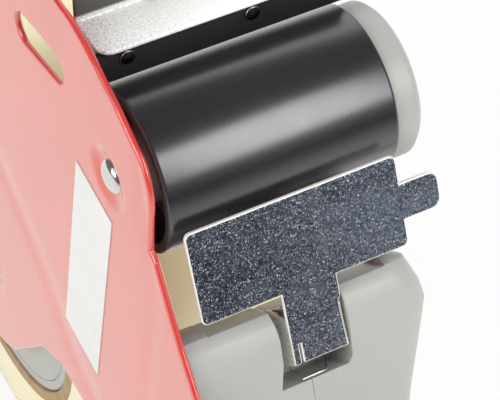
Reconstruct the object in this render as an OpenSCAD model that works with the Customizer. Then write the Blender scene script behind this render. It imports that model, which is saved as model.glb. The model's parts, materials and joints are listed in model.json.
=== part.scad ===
// Hand-held packing tape dispenser for 50 mm tape.
// X runs along the roller axle, the front is -Y and Z is up.
// The dispenser stands parked on the butt of its grip and on its tape roll.

/* [Tape] */
// Width of the tape
tape_w = 50; // [46:1:52]
// Outer radius of the tape roll
roll_r = 55; // [50:0.5:58]
// Inner radius of the cardboard core
core_r = 38; // [36:0.5:39]
// Wall of the cardboard core
core_wall = 3; // [2:0.5:4]

/* [Side plate] */
// Thickness of the side plate
plate_t = 1.5; // [1.2:0.1:2]
// Height of the plate's top edge over the roller axle
plate_top = 23; // [22.5:0.1:24]
// Distance from the roller axle back to the hub
hub_back = 75; // [72:1:80]
// Distance from the roller axle down to the hub
hub_drop = 85; // [82:1:88]
// Radius of the plate's lobe round the hub
lobe_r = 27; // [22:1:30]
// Radius of the dish pressed round the roller axle
dish_r = 6.4; // [5.5:0.1:8]
// Depth of that dish
dish_d = 1.2; // [0.8:0.1:1.4]

/* [Roller] */
// Outer radius of the rubber sleeve
sleeve_r = 15.8; // [15:0.1:15.9]
// Length of the rubber sleeve
sleeve_l = 45.7; // [42:0.1:47]
// Wall of the rubber sleeve
sleeve_wall = 2; // [1.5:0.1:2.6]
// Radius of the plastic flange at the free end
flange_r = 14.8; // [14.4:0.1:15.2]
// Length of that flange
flange_l = 5.6; // [4:0.1:7]
// Radius of the roller axle
axle_r = 3; // [2.5:0.1:3.5]

/* [Blade] */
// Depth of the bracket's shelf
shelf_d = 10.7; // [9:0.1:12]
// Thickness of the bracket's sheet
sheet_t = 1; // [0.8:0.1:1.2]
// Height of the blade over the shelf
blade_h = 10; // [8:0.5:12]
// Number of teeth on the blade
teeth = 22; // [16:1:28]

/* [Gate] */
// Width of the gate's plate
gate_w = 41.7; // [38:0.1:42]
// Height of the gate's plate
gate_h = 18.1; // [17:0.1:18.4]
// Thickness of the gate's sheet
gate_t = 1; // [0.8:0.1:1.1]
// Length of the finger tab at the gate's side
tab_l = 7.7; // [5:0.1:8]
// Height of the finger tab
tab_h = 7.2; // [5:0.1:8]
// Radius of the gate's hinge pin
pin_r = 1.5; // [1.2:0.1:1.6]

/* [Grip] */
// Depth of the grip from front to back
grip_d = 31; // [29:0.5:33]
// Lean of the grip from upright, in degrees
grip_lean = 37.4; // [36.5:0.1:38]
// Wall of the grip's shells
wall = 2.4; // [2:0.1:2.8]
// Thickness of the butt plate
butt_t = 3; // [2:0.5:4]

/* [Hub] */
// Radius of the hub's fixed stud
stud_r = 4; // [3.5:0.1:4.5]
// Radius of the tension knob
knob_r = 16; // [13:0.5:18]
// Number of grips round the tension knob
knob_lobes = 8; // [6:1:12]

/* [Hidden] */
$fn = 64;

// Clearances
run = 0.05;
seat = 0.3;

// Roller along its axle
sleeve_x0 = 2.7;
sleeve_x1 = sleeve_x0 + sleeve_l;
core_set = 6;
core_x0 = sleeve_x0 + core_set;
roller_x1 = sleeve_x1 + flange_l;
core_or = sleeve_r - sleeve_wall;
washer_t = 0.8;
washer_w = 3.4;
axle_head_r = 3.4;
clip_t = 0.8;
clip_x = roller_x1 + seat + washer_t;
axle_x1 = clip_x + clip_t + 1.4;

// Hub and tape
hub_y = hub_back;
hub_z = -hub_drop;
roll_x0 = 2;
roll_x1 = roll_x0 + tape_w;
drum_r = core_r - seat;
drum_wall = 2.4;
drum_x0 = roll_x0 + 0.5;
drum_x1 = roll_x1 - 2;
boss_r = stud_r + 5;
boss_x0 = drum_x0;
boss_x1 = boss_x0 + 30;
felt_x0 = boss_x1 + 0.1;
felt_t = 1.5;
press_x0 = felt_x0 + felt_t + 0.1;
press_t = 1.2;
spring_x0 = press_x0 + press_t + 0.1;
spring_l = 11;
knob_x0 = spring_x0 + spring_l + 0.1;
knob_t = 12;
knob_x1 = knob_x0 + knob_t;
stud_x1 = knob_x1 - 2;

// Floor under the butt and the roll
floor_z = hub_z - roll_r;

// Grip frame: origin at the grip's top front corner, local Z up along the grip
grip_y = -25.5;
grip_z = -19;
grip_x1 = 49.3;
neck_x1 = 44.3;
waist_x1 = 41.2;
// How far the finger scoop goes in
scoop = 9.6;
hand_x1 = 37.4;
split_x = 22.2;
function grip_at(y, z) = [grip_y + y * cos(grip_lean) + z * sin(grip_lean),
  grip_z - y * sin(grip_lean) + z * cos(grip_lean)];
// Length down the front line to the floor
toe_s = (grip_z - floor_z) / cos(grip_lean);

// Gate frame: origin at the gate's top edge, local Z up along the gate
gate_lean = 21.8;
gate_x0 = 4;
gate_x1 = gate_x0 + gate_w;
gate_y = -18.3;
gate_z = -0.5;
leg_mid = 25.1;
leg_w = 11.2;
leg_x0 = leg_mid - leg_w / 2;
leg_x1 = leg_mid + leg_w / 2 - 0.2;
leg_l = 14.6;
pin_ly = 8.6;
pin_lz = -gate_h - 9.4;
ear_r = 2.6;
pin_y = gate_y + pin_ly * cos(gate_lean) + pin_lz * sin(gate_lean);
pin_z = gate_z - pin_ly * sin(gate_lean) + pin_lz * cos(gate_lean);
slot_x0 = leg_mid - 8.9;
slot_x1 = leg_mid + leg_w / 2 + 0.3;
slot_z = -15.9;
slot_d = 14;
notch_z = -4.3;
cheek = 3.6;
pin_x0 = slot_x0 - cheek + 0.4;
pin_x1 = slot_x1 + cheek - 0.4;

// Blade bracket
shelf_y0 = 6.3;
shelf_y1 = shelf_y0 + shelf_d;
shelf_z = 21.2;
shelf_top = shelf_z + sheet_t;
up_h = 7;
apron_z = 15.1;
apron_y = shelf_y0 + 2;
wiper_t = 1.6;
wiper_x0 = 0.25;
rivet_z = 19.65;
rivet_r = 0.9;
rivet_head = 1.45;
rivet_x = [6.5, 30.7];
bracket_x0 = 1.3;
bracket_x1 = roll_x1 - 1;
blade_t = 0.8;
blade_x0 = bracket_x0 + 1;
blade_x1 = bracket_x1 - 1;
blade_y = shelf_y1;
blade_screw_in = 14;
blade_screw_x = [blade_x0 + blade_screw_in, blade_x1 - blade_screw_in];

// Fasteners on the grip, as places across and down it
grip_screw_at = [[16, -34], [15, -72], [15, -118]];
plate_rivet_at = [[14, -47], [24, -47]];
screw_r = 1.5;
screw_head = 3;

// Draws a flat outline, given as (y, z), from x0 to x1
module side(x0, x1) {
  translate([x0, 0, 0]) rotate([90, 0, 90]) linear_extrude(x1 - x0) children();
}
// A round bar along X
module xbar(x0, x1, r, y = 0, z = 0) {
  translate([x0, y, z]) rotate([0, 90, 0]) cylinder(r = r, h = x1 - x0);
}
// A turned piece along X, from an outline of (radius, x)
module xturn(y = 0, z = 0) {
  translate([0, y, z]) rotate([0, 90, 0]) rotate_extrude() children();
}
module grip_frame() {
  translate([0, grip_y, grip_z]) rotate([-grip_lean, 0, 0]) children();
}
module gate_frame() {
  translate([0, gate_y, gate_z]) rotate([-gate_lean, 0, 0]) children();
}
// Points of an arc in a flat outline
function arc(c, r, a0, a1, n = 12) =
  [for (i = [0:n]) c + r * [cos(a0 + (a1 - a0) * i / n), sin(a0 + (a1 - a0) * i / n)]];

// Outline of the side plate, as (y, z), round from the notch under the roller
edge_out = 0.6;
plate_low = grip_at(-edge_out, -58);
plate_heel = grip_at(grip_d, -58);
nose_c = [-6.2, 7.6];
nose_r = 10.9;
function plate_outline() = concat(
  [[-15.6, -4.2], [-17.6, -5.2], grip_at(-edge_out, -1)],
  [plate_low],
  [plate_heel, [5, hub_z - 0.6], [21, hub_z + 2], [31.4, hub_z + 2.8], [42, hub_z - 3]],
  arc([hub_y, hub_z], lobe_r, 235, 390, 24),
  [[66, -20], [52, 6]],
  arc([34, plate_top - 9.4], 13, 20, 88, 8),
  [[18, plate_top + 4.1], [12, plate_top + 3.8], [7.5, plate_top + 2.8], [3, plate_top + 1.15]],
  [[-1, plate_top - 0.6], [-5.5, plate_top - 2.5]],
  arc(nose_c, nose_r, 118, 196, 12));

window_a = [20.2, 10];
window_b = [34, 8];
window_r = 3.3;
module side_plate() {
  color("firebrick") difference() {
    union() {
      side(-plate_t, 0) polygon(plate_outline());
      xbar(-plate_t, dish_d, dish_r + 1.2);
      xbar(-plate_t, dish_d, stud_r + 9, hub_y, hub_z);
    }
    xbar(-plate_t - 1, dish_d - plate_t, dish_r);
    xbar(-plate_t - 1, dish_d - plate_t, stud_r + 7.8, hub_y, hub_z);
    xbar(-plate_t - 1, dish_d + 1, axle_r + run);
    xbar(-plate_t - 1, dish_d + 1, stud_r + run, hub_y, hub_z);
    for (p = plate_rivet_at) {
      q = grip_at(p[0], p[1]);
      xbar(-plate_t - 1, 1, 2 + run, q[0], q[1]);
    }
    side(-plate_t - 1, 1) {
      translate(window_a) circle(window_r);
      translate(window_b) circle(window_r);
      polygon([window_a - [0, window_r], window_b - [0, window_r], window_b + [0, window_r],
        window_a + [0, window_r]]);
    }
  }
}

label_at = [12.2, -36];
label_w = 14.7;
label_h = 55.4;
label_t = 0.15;
label_lean = 12.4;
module plate_label() {
  color("white") translate([0, label_at[0], label_at[1]]) rotate([label_lean, 0, 0])
    translate([-plate_t - label_t, -label_w / 2, -label_h / 2]) cube([label_t, label_w, label_h]);
}

module roller_axle() {
  color("silver") xturn() polygon([[0, dish_d - plate_t - 1.8], [axle_head_r - 1.6, dish_d - plate_t - 1.55],
    [axle_head_r - 0.4, dish_d - plate_t - 0.9], [axle_head_r, dish_d - plate_t], [axle_r, dish_d - plate_t],
    [axle_r, clip_x], [axle_r - 0.6, clip_x], [axle_r - 0.6, clip_x + clip_t],
    [axle_r, clip_x + clip_t], [axle_r, axle_x1 - 0.5], [axle_r - 0.5, axle_x1], [0, axle_x1]]);
}
module axle_washer() {
  color("silver") difference() {
    xbar(roller_x1 + seat, clip_x, axle_r + washer_w);
    xbar(roller_x1, clip_x + 1, axle_r + run);
  }
}
module axle_clip() {
  color("dimgray") difference() {
    xbar(clip_x, clip_x + clip_t, axle_r + 2.6);
    xbar(clip_x - 1, clip_x + clip_t + 1, axle_r - 0.6 + run);
    translate([clip_x - 1, -axle_r + 0.9, -axle_r - 4]) cube([clip_t + 2, 2 * axle_r - 1.8, axle_r + 4]);
  }
}
module roller_core() {
  color("lightgray") xturn() polygon([[axle_r + run, dish_d + seat], [axle_r + 4, dish_d + seat],
    [axle_r + 4, core_x0], [core_or, core_x0], [core_or, sleeve_x1], [flange_r, sleeve_x1],
    [flange_r, roller_x1 - 1.2], [flange_r - 1.2, roller_x1], [flange_r - 3.6, roller_x1],
    [flange_r - 3.6, roller_x1 - 2.5], [axle_r + 3.6, roller_x1 - 2.5], [axle_r + 3.6, roller_x1],
    [axle_r + run, roller_x1]]);
}
module roller_sleeve() {
  color("#232326") xturn() polygon([[core_or + 0.02, sleeve_x0], [sleeve_r - 0.4, sleeve_x0],
    [sleeve_r, sleeve_x0 + 0.4], [sleeve_r, sleeve_x1 - 0.42], [sleeve_r - 0.4, sleeve_x1 - 0.02],
    [core_or + 0.02, sleeve_x1 - 0.02]]);
}

// Folded sheet: a shelf, an upright behind it, an apron under its front and an ear on the plate
module blade_bracket() {
  color("silver") difference() {
    union() {
      translate([0, 0, shelf_z]) linear_extrude(sheet_t) polygon(concat(
        [[bracket_x0, shelf_y1], [bracket_x0, shelf_y0 + 3]],
        [for (a = [180:15:270]) [bracket_x0 + 3 + 3 * cos(a), shelf_y0 + 3 + 3 * sin(a)]],
        [[bracket_x1, shelf_y0], [bracket_x1, shelf_y1]]));
      translate([bracket_x0, shelf_y1 - sheet_t, shelf_z])
        cube([bracket_x1 - bracket_x0, sheet_t, sheet_t + up_h]);
      translate([bracket_x0 + 2, apron_y, apron_z + 0.2])
        cube([bracket_x1 - bracket_x0 - 4, sheet_t, shelf_top - apron_z - 0.2]);
      translate([0, apron_y, apron_z + 0.2]) cube([bracket_x0 + 3, shelf_y1 - apron_y, sheet_t]);
      translate([0, apron_y, apron_z + 0.2]) cube([sheet_t, shelf_y1 - apron_y, shelf_z - apron_z - 0.4]);
    }
    for (x = rivet_x) translate([x, apron_y - 1, rivet_z]) rotate([-90, 0, 0])
      cylinder(r = rivet_r + run, h = 4);
    for (x = blade_screw_x)
      translate([x, shelf_y1 - 3, shelf_top + 3]) rotate([-90, 0, 0]) cylinder(r = 1.25 + run, h = 6);
  }
}
module cutting_blade() {
  pitch = (blade_x1 - blade_x0) / teeth;
  low = shelf_z - 4;
  high = shelf_top + blade_h;
  color("gainsboro") difference() {
    translate([0, blade_y + blade_t, 0]) rotate([90, 0, 0]) linear_extrude(blade_t) polygon(concat(
      [[blade_x1, low], [blade_x0, low]],
      [for (i = [0:teeth - 1]) each [[blade_x0 + i * pitch, high - 1.6],
        [blade_x0 + (i + 0.5) * pitch, high]]],
      [[blade_x1, high - 1.6]]));
    for (x = blade_screw_x)
      translate([x, blade_y - blade_t, shelf_top + 3]) rotate([-90, 0, 0])
        cylinder(r = 1.25 + run, h = 4 * blade_t);
  }
}
module blade_screws() {
  color("silver") for (x = blade_screw_x)
    translate([x, blade_y, shelf_top + 3]) rotate([-90, 0, 0]) {
      translate([0, 0, -sheet_t - 1.2]) cylinder(r = 1.25, h = sheet_t + blade_t + 1.2);
      translate([0, 0, blade_t]) cylinder(r = 2.4, h = 1.4);
      translate([0, 0, -sheet_t - 1.4]) cylinder(r = 2.3, h = 1.4, $fn = 6);
    }
}
// Black strip that keeps the tape off the bracket
module wiper_strip() {
  color("#1c1c1e") difference() {
    translate([wiper_x0, apron_y - wiper_t, apron_z])
      cube([bracket_x1 - 2 - wiper_x0, wiper_t, shelf_z - apron_z - 0.1]);
    for (x = rivet_x) translate([x, apron_y - wiper_t - 1, rivet_z]) rotate([-90, 0, 0])
      cylinder(r = rivet_r + run, h = 4);
  }
}
module wiper_rivets() {
  color("gray") for (x = rivet_x)
    translate([x, apron_y - wiper_t - 0.5, rivet_z]) rotate([-90, 0, 0]) {
      cylinder(r = rivet_r, h = wiper_t + sheet_t + 1);
      cylinder(r = rivet_head, h = 0.5);
      translate([0, 0, wiper_t + sheet_t + 0.5]) cylinder(r = rivet_head, h = 0.5);
    }
}

// One cross-section of the grip: a round-cornered rectangle
module grip_slice(z, x0, x1, y0, y1, r) {
  translate([0, 0, z]) linear_extrude(0.05) hull() {
    for (x = [x0 + r, x1 - r], y = [y0 + r, y1 - r]) translate([x, y]) circle(r, $fn = 32);
  }
}
// Depth of the grip's front face at a distance down it: flat by the gate, then scooped for the fingers
function face(z) = lookup(z, [[-108, -1.5], [-64, scoop * 0.36], [-48, scoop * 0.83], [-36, scoop],
  [-27, 8.4], [-18, 5], [-14, 3.5], [-10, 2], [-6.5, 0.7], [-3.2, 0.6], [-0.8, 1.9]]);
// Solid of the whole grip, grown by g on every side
module grip_solid(g) {
  hull() {
    grip_slice(0.3 + g, -8 - g, grip_x1 - 5.5 + g, 4 - g, 9 + g, 2);
    grip_slice(-0.8 + g, -8 - g, grip_x1 - 3 + g, face(-0.8) - g, 13 + g, 4);
    grip_slice(-3.2 + g, -8 - g, grip_x1 - 2.1 + g, face(-3.2) - g, 20 + g, 6);
    grip_slice(-6.5 + g, -8 - g, grip_x1 - 0.7 + g, face(-6.5) - g, grip_d - 5 + g, 7);
    grip_slice(-10 + g, -8 - g, grip_x1 + g, face(-10) - g, grip_d + g, 7);
    grip_slice(-14, -8 - g, grip_x1 - 1.1 + g, face(-14) - g, grip_d + g, 7);
    grip_slice(-18, -8 - g, grip_x1 - 2.3 + g, face(-18) - g, grip_d + g, 7);
    grip_slice(-27, -8 - g, neck_x1 + g, face(-27) - g, grip_d + g, 7);
  }
  hull() {
    grip_slice(-27, -8 - g, neck_x1 + g, face(-27) - g, grip_d + g, 7);
    grip_slice(-36, -8 - g, waist_x1 + g, face(-36) - g, grip_d + g, 7.5);
  }
  hull() {
    grip_slice(-36, -8 - g, waist_x1 + g, face(-36) - g, grip_d + g, 7.5);
    grip_slice(-48, -8 - g, hand_x1 + g, face(-48) - g, grip_d + g, 8);
  }
  hull() {
    grip_slice(-48, 0.4 - g, hand_x1 + g, face(-48) - g, grip_d + g, 8);
    grip_slice(-64, 4 - g, hand_x1 - 0.5 + g, face(-64) - g, grip_d - 1 + g, 9);
  }
  hull() {
    grip_slice(-64, 4 - g, hand_x1 - 0.5 + g, face(-64) - g, grip_d - 1 + g, 9);
    grip_slice(-108, 5 - g, 36 + g, face(-108) - g, grip_d - 0.5 + g, 10);
  }
  hull() {
    grip_slice(-108, 5 - g, 36 + g, face(-108) - g, grip_d - 0.5 + g, 10);
    grip_slice(-toe_s - 8, 4 - g, 37 + g, -5 - g, grip_d + 2 + g, 10);
  }
}
// Both shells together: hollow, flat on the plate and cut level at the butt
module grip_body() {
  difference() {
    grip_frame() difference() {
      union() {
        difference() {
          grip_solid(0);
          difference() {
            grip_hollow();
            translate([slot_x0 - cheek, -20, -21]) cube([slot_x1 - slot_x0 + 2 * cheek, 20 + 17, 40]);
          }
        }
        intersection() {
          grip_bosses();
          grip_solid(-0.5);
        }
      }
      translate([0, slot_d, 0]) rotate([90, 0, 0]) linear_extrude(slot_d + 20) polygon([
        [slot_x0, slot_z], [slot_x1 - 1.05, slot_z], [slot_x1 - 0.15, -14.5], [slot_x1, -10],
        [slot_x1, slot_z + 40], [slot_x0 + 0.7, slot_z + 40], [slot_x0 + 0.7, 0],
        [slot_x0 + 1.1, -5], [slot_x0 + 1, -11]]);
      translate([slot_x0 + 0.7, slot_d - 4, notch_z]) cube([slot_x1 - slot_x0 - 0.7, 40, 20]);
      translate([5, 1.6, -0.9]) cube([36, 40, 10]);
    }
    translate([-100, -300, floor_z - 100]) cube([200, 400, 100 + butt_t]);
    translate([-100, -300, -300]) cube([100, 400, 400]);
    xbar(pin_x0, pin_x1, pin_r + run, pin_y, pin_z);
    for (p = grip_screw_at) {
      q = grip_at(p[0], p[1]);
      xbar(split_x - 12, split_x + 60, screw_r + run, q[0], q[1]);
      xbar(split_x + 10, split_x + 60, screw_head + 0.3, q[0], q[1]);
    }
    for (p = plate_rivet_at) {
      q = grip_at(p[0], p[1]);
      xbar(-1, 8, 2 + run, q[0], q[1]);
    }
  }
}
module grip_hollow() {
  hull() {
    grip_slice(-6, wall, grip_x1 - 5 - wall, 7, 20, 3);
    grip_slice(-12, wall, grip_x1 - 3 - wall, wall + face(-12), grip_d - wall, 4);
    grip_slice(-27, wall, neck_x1 - wall, wall + face(-27), grip_d - wall, 4);
  }
  hull() {
    grip_slice(-27, wall, neck_x1 - wall, wall + face(-27), grip_d - wall, 4);
    grip_slice(-36, wall, waist_x1 - wall, wall + face(-36), grip_d - wall, 4);
  }
  hull() {
    grip_slice(-36, wall, waist_x1 - wall, wall + face(-36), grip_d - wall, 4);
    grip_slice(-47, wall + 1, hand_x1 - wall, wall + face(-47), grip_d - wall, 4);
  }
  hull() {
    grip_slice(-47, wall + 1, hand_x1 - wall, wall + face(-47), grip_d - wall, 4);
    grip_slice(-66, 4 + wall, 36.6 - wall, wall + face(-66), grip_d - 1 - wall, 5);
  }
  hull() {
    grip_slice(-62, 4.8 + wall, 35.8 - wall, wall + 0.8 + face(-62), grip_d - 1.8 - wall, 5);
    grip_slice(-toe_s - 8, 5.8 + wall, 35.2 - wall, wall - 0.2, grip_d - 0.8 - wall, 6);
  }
}
// Posts for the screws and the rivets, in the grip's frame
module grip_bosses() {
  for (p = grip_screw_at) translate([-3, p[0], p[1]]) rotate([0, 90, 0])
    cylinder(r = screw_head + 2, h = grip_x1 + 3);
  for (p = plate_rivet_at) translate([-3, p[0], p[1]]) rotate([0, 90, 0]) cylinder(r = 4.5, h = 12);
}
module grip_left_shell() {
  color("#bdbfb8") intersection() {
    grip_body();
    translate([-50, -300, -300]) cube([50 + split_x, 400, 400]);
  }
}
module grip_right_shell() {
  color("#c3c5be") intersection() {
    grip_body();
    translate([split_x, -300, -300]) cube([100, 400, 400]);
  }
}
module grip_screws() {
  color("dimgray") for (p = grip_screw_at) {
    q = grip_at(p[0], p[1]);
    difference() {
      union() {
        xbar(split_x - 11, split_x + 10.2, screw_r, q[0], q[1]);
        xbar(split_x + 10.05, split_x + 12.4, screw_head, q[0], q[1]);
      }
      translate([split_x + 11.4, q[0] - 2, q[1] - 0.4]) cube([2, 4, 0.8]);
      translate([split_x + 11.4, q[0] - 0.4, q[1] - 2]) cube([2, 0.8, 4]);
    }
  }
}
module plate_rivets() {
  color("silver") for (p = plate_rivet_at) {
    q = grip_at(p[0], p[1]);
    xturn(q[0], q[1]) polygon([[0, -plate_t - 1.2], [2, -plate_t - 1], [3.4, -plate_t - 0.3],
      [3.6, -plate_t],
      [2, -plate_t], [2, 7.4], [0, 7.4]]);
  }
}
// Flat foot of the grip
toe_out = 4.6;
toe_lip = 1;
butt_x0 = 5;
butt_x1 = 36.5;
butt_r = 7;
butt_y0 = grip_at(-toe_out, -(grip_z - floor_z - butt_t + toe_out * sin(grip_lean)) / cos(grip_lean))[0];
heel_s = (grip_z - floor_z - butt_t - (grip_d + toe_lip) * sin(grip_lean)) / cos(grip_lean);
butt_y1 = grip_at(grip_d + toe_lip, -heel_s)[0];
module butt_plate() {
  color("#55565a") translate([0, 0, floor_z]) linear_extrude(butt_t) polygon(concat(
    arc([butt_x1 - butt_r, butt_y1 - butt_r - toe_lip], butt_r, 0, 90, 6),
    arc([butt_x0 + butt_r, butt_y1 - butt_r - toe_lip], butt_r, 90, 180, 6),
    arc([butt_x0 + butt_r, butt_y0 + butt_r], butt_r, 180, 270, 6),
    arc([butt_x1 - butt_r, butt_y0 + butt_r], butt_r, 270, 360, 6)));
}

// Tape gate: a plate with a finger tab, a leg and two ears on the hinge pin
module tape_gate() {
  c = 1.2;
  tab_c = 1.9;
  tab_z = -gate_h * 0.52;
  color("slategray") gate_frame() difference() {
    union() {
      translate([0, gate_t, 0]) rotate([90, 0, 0]) linear_extrude(gate_t) polygon(concat(
        arc([gate_x0 + c, -c], c, 180, 90, 4), arc([gate_x1 - c, -c], c, 90, 0, 4),
        [[gate_x1, tab_z + tab_h / 2]],
        arc([gate_x1 + tab_l - tab_c, tab_z + tab_h / 2 - tab_c], tab_c, 90, 0, 4),
        arc([gate_x1 + tab_l - tab_c, tab_z - tab_h / 2 + tab_c], tab_c, 0, -90, 4),
        [[gate_x1, tab_z - tab_h / 2]],
        arc([gate_x1 - c, -gate_h + c], c, 0, -90, 4),
        [[leg_x1 + 0.2, -gate_h], [leg_x1 + 0.2, -gate_h - 4.3], [leg_x1 - 0.4, -gate_h - 5.3],
        [leg_x1, -gate_h - leg_l], [leg_x0, -gate_h - leg_l], [leg_x0, -gate_h]],
        arc([gate_x0 + c, -gate_h + c], c, -90, -180, 4)));
      for (x = [leg_x0, leg_x1 - gate_t]) {
        side(x, x + gate_t) polygon([[0.2, -gate_h - 5.8], [0.2, -gate_h - leg_l],
          [4.4, -gate_h - leg_l - 2.2], [pin_ly - 1, pin_lz - 4.2], [pin_ly + ear_r, pin_lz],
          [pin_ly, pin_lz + ear_r]]);
        xbar(x, x + gate_t, ear_r, pin_ly, pin_lz);
      }
    }
    xbar(leg_mid - leg_w, leg_mid + leg_w, pin_r + run, pin_ly, pin_lz);
    // Slit beside the near fold
    translate([leg_x0 + 1.5, -1, -gate_h - leg_l - 1]) cube([0.4, gate_t + 2, 5]);
  }
}
module gate_pin() {
  color("silver") xbar(pin_x0 + 0.2, pin_x1 - 0.2, pin_r, pin_y, pin_z);
}

// A round wire swept along a list of points
function unit(v) = v / norm(v);
function tangent(p, i) = unit(p[min(i + 1, len(p) - 1)] - p[max(i - 1, 0)]);
function square_to(u, t) = unit(u - (u * t) * t);
function sweep_rings(p, r, k) = [
  for (i = 0, u = [0.36, 0.48, 0.8]; i < len(p); u = square_to(u, tangent(p, i)), i = i + 1)
  let (t = tangent(p, i), a = square_to(u, t), b = cross(t, a))
  for (j = [0:k - 1]) p[i] + r * (cos(360 * j / k) * a + sin(360 * j / k) * b)];
module wire(p, r, k = 6) {
  n = len(p);
  polyhedron(points = sweep_rings(p, r, k), faces = concat(
    [for (i = [0:n - 2], j = [0:k - 1]) each let (a = i * k + j, b = i * k + (j + 1) % k)
      [[a, a + k, b], [b, a + k, b + k]]],
    [for (j = [1:k - 2]) [0, j, j + 1]],
    [for (j = [1:k - 2]) [(n - 1) * k, (n - 1) * k + j + 1, (n - 1) * k + j]]));
}
// Least gap between points of a wire that lie more than one step of turn apart
function self_gap(p, r, skip) = min([for (i = [0:len(p) - 1 - skip], j = [i + skip:len(p) - 1])
  norm(p[i] - p[j])]) - 2 * r;

// Torsion spring round the hinge pin, between the gate's two ears.
// One leg bears on the gate's back and the other is hooked on the slot's floor.
gs_wire = 0.3;
gs_turns = 7;
gs_r = pin_r + 0.3 + gs_wire;
gs_pitch = 2 * gs_wire + 0.4;
gs_x0 = leg_x0 + gate_t + 0.25 + gs_wire;
hook_x = leg_mid + 0.8;
hook_z = slot_z + 0.3 + gs_wire;
function in_slot(x, y, z) = [x, grip_at(y, z)[0], grip_at(y, z)[1]];
pin_gy = (pin_y - grip_y) * cos(grip_lean) - (pin_z - grip_z) * sin(grip_lean);
pin_gz = (pin_y - grip_y) * sin(grip_lean) + (pin_z - grip_z) * cos(grip_lean);
// Where the bearing leg meets the gate, seen from the pin
gs_turn = grip_lean - gate_lean;
gs_on_ly = gate_t + 0.15 + gs_wire - pin_ly;
gs_on_lz = -3.8 - gate_h - pin_lz;
gs_on_y = gs_on_ly * cos(gs_turn) - gs_on_lz * sin(gs_turn);
gs_on_z = gs_on_ly * sin(gs_turn) + gs_on_lz * cos(gs_turn);
gs_a0 = atan2(gs_on_z, gs_on_y) - acos(gs_r / norm([gs_on_y, gs_on_z]));
gs_off_y = gs_r * cos(gs_a0);
gs_off_z = gs_r * sin(gs_a0);
function by_pin(x, y, z) = in_slot(x, pin_gy + y, pin_gz + z);
function coil_at(a) = by_pin(gs_x0 + gs_pitch * (gs_a0 - a) / 360, gs_r * cos(a), gs_r * sin(a));
gs_steps = 8 * gs_turns + 1;
gs_swing = gs_a0 + 360 * gs_turns;
gs_end = gs_x0 + gs_pitch * gs_swing / 360;
floor_w = hook_z - pin_gz;
hook_w = -5.9;
hook_l = 5.5;
gs_points = concat(
  [by_pin(gs_x0, gs_on_y, gs_on_z)],
  [by_pin(gs_x0, (gs_on_y + gs_off_y) / 2, (gs_on_z + gs_off_z) / 2)],
  [for (i = [0:gs_steps]) coil_at(gs_a0 - gs_swing * i / gs_steps)],
  [by_pin(gs_end, gs_r, -3), by_pin(gs_end, gs_r, floor_w + 1.2)],
  [by_pin(gs_end, gs_r - 0.35, floor_w + 0.35), by_pin(gs_end, gs_r - 1.2, floor_w)],
  [by_pin(hook_x, hook_w + 1.2, floor_w), by_pin(hook_x - 0.35, hook_w + 0.35, floor_w)],
  [by_pin(hook_x - 1.2, hook_w, floor_w), by_pin(hook_x - hook_l, hook_w, floor_w)]);
module gate_spring() {
  color("lightsteelblue") wire(gs_points, gs_wire);
}

module hub_stud() {
  color("silver") xturn(hub_y, hub_z) polygon([[0, dish_d - plate_t - 1.5], [stud_r, dish_d - plate_t - 1.2],
    [stud_r + 2, dish_d - plate_t - 0.4], [stud_r + 2.2, dish_d - plate_t], [stud_r, dish_d - plate_t],
    [stud_r, stud_x1 - 0.8], [stud_r - 0.8, stud_x1], [0, stud_x1]]);
}
// Drum that carries the tape: rim, spokes and a boss on the stud
web_x1 = drum_x0 + 2.6;
rib_l = 20;
module tape_hub() {
  color("#c8cac4") difference() {
    xbar(drum_x0, drum_x1, drum_r, hub_y, hub_z);
    xbar(drum_x0 - 1, drum_x1 + 1, drum_r - drum_wall, hub_y, hub_z);
  }
}
module hub_web() {
  color("#c8cac4") difference() {
    union() {
      xbar(drum_x0, web_x1, drum_r - drum_wall, hub_y, hub_z);
      xbar(boss_x0, boss_x1, boss_r, hub_y, hub_z);
    }
    xbar(boss_x0 - 1, boss_x1 + 1, stud_r + run, hub_y, hub_z);
  }
}
module hub_ribs() {
  color("#c8cac4") difference() {
    for (a = [0:60:300]) translate([0, hub_y, hub_z]) rotate([a, 0, 0])
      translate([web_x1, 0, -1]) cube([rib_l, drum_r - drum_wall, 2]);
    xbar(web_x1 - 1, web_x1 + rib_l + 1, boss_r, hub_y, hub_z);
  }
}
module ring_plate(x0, x1, r, bore) {
  difference() {
    xbar(x0, x1, r, hub_y, hub_z);
    xbar(x0 - 1, x1 + 1, bore, hub_y, hub_z);
  }
}
module friction_washer() {
  color("saddlebrown") ring_plate(felt_x0, felt_x0 + felt_t, boss_r - 0.5, stud_r + run);
}
module pressure_washer() {
  color("silver") ring_plate(press_x0, press_x0 + press_t, boss_r - 0.2, stud_r + run);
}
bs_wire = 0.75;
bs_turns = 4;
bs_r = stud_r + 0.6 + bs_wire;
bs_pitch = (spring_l - 2 * bs_wire - 0.2) / bs_turns;
bs_points = [for (i = [0:8 * bs_turns]) let (a = 45 * i)
  [spring_x0 + 0.1 + bs_wire + bs_pitch * i / 8, hub_y + bs_r * cos(a), hub_z + bs_r * sin(a)]];
module brake_spring() {
  color("lightsteelblue") wire(bs_points, bs_wire);
}
echo(least_gap_gate_spring = self_gap(gs_points, gs_wire, 5),
  least_gap_brake_spring = self_gap(bs_points, bs_wire, 5));
knob_grip = 8;
flute_r = 4;
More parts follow.
